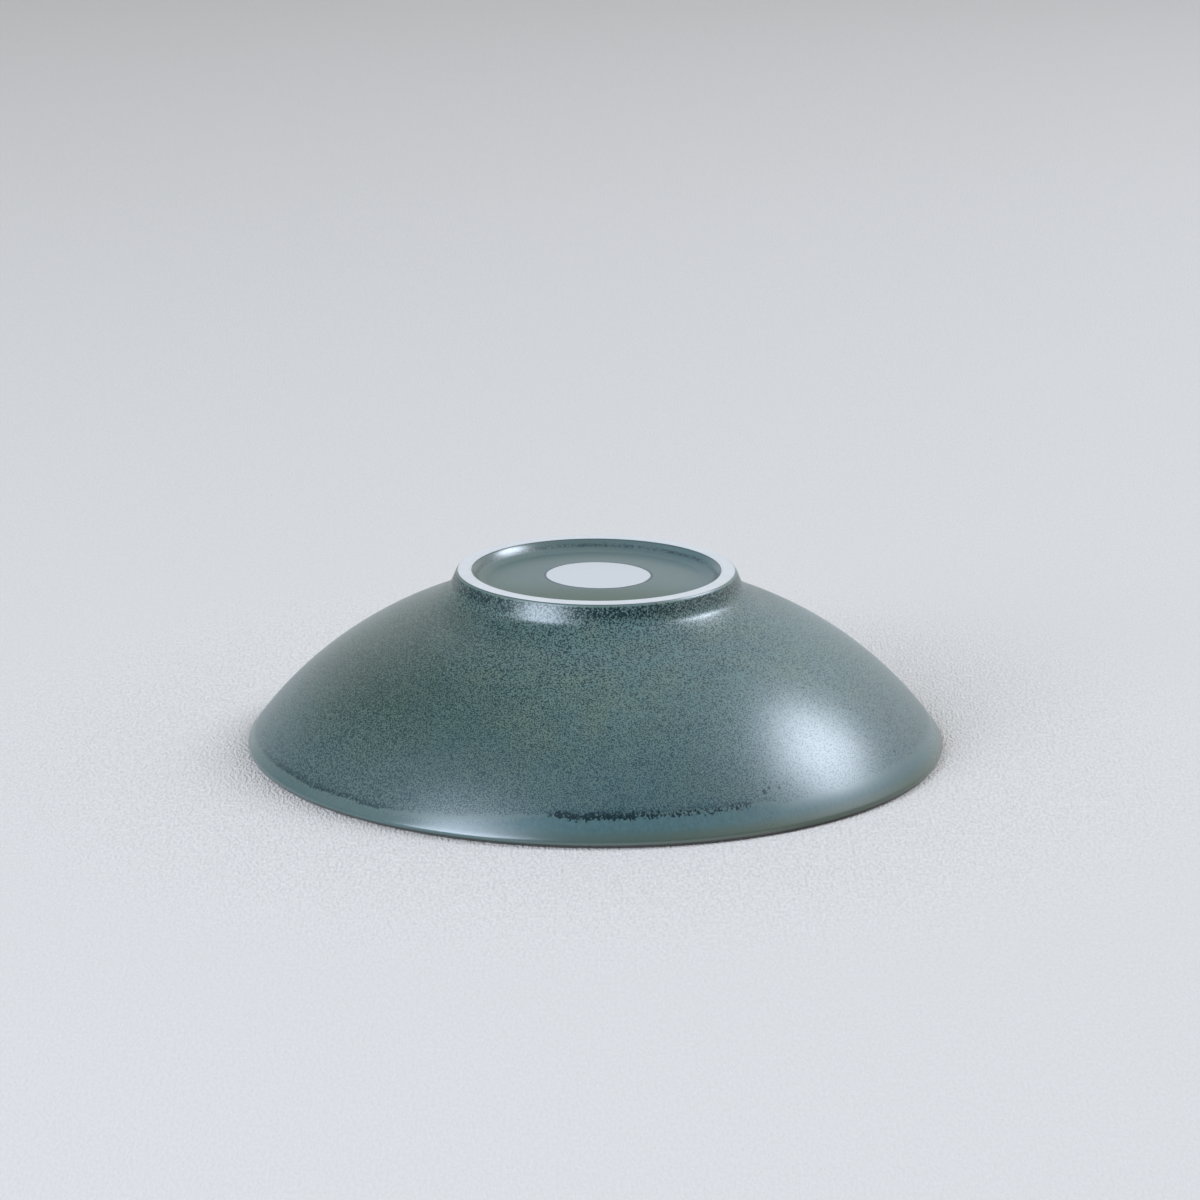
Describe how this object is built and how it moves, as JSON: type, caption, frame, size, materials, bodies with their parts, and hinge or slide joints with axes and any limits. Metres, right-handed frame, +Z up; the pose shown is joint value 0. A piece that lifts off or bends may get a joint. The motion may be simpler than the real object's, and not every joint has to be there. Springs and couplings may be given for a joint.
{
  "type": "soup plate",
  "caption": "Round coupe soup plate in glazed white porcelain, lying upside down: a deep curved bowl with a rounded lip, a foot ring with a bare face and a shallow well inside it.",
  "frame": {"origin": "centre of the circle on which the rim rests, on the table", "axes": "+Z up along the plate's axis, out of the foot ring; the plate lies upside down as pictured, so in use +Z points down"},
  "size_m": [0.2, 0.2, 0.0514],
  "materials": {
    "porcelain": "fired white porcelain under the glaze",
    "foot_porcelain": "bare fired porcelain, ground smooth and matt",
    "face_glaze": "satin grey-green reactive glaze, lightly speckled",
    "rim_glaze": "smooth satin grey-green glaze, olive at the lip",
    "back_glaze": "satin grey-green reactive glaze with dense dark blue flecks",
    "well_glaze": "satin grey-green glaze, pooled darker along the foot ring",
    "disc_white": "plain white disc under clear satin glaze"
  },
  "bodies": {
    "root": {"bowl_shell": "porcelain", "foot_ring": "foot_porcelain", "face_glaze": "face_glaze", "rim_glaze": "rim_glaze", "back_glaze": "back_glaze", "well_glaze": "well_glaze", "base_disc": "disc_white"}
  },
  "joints": []
}
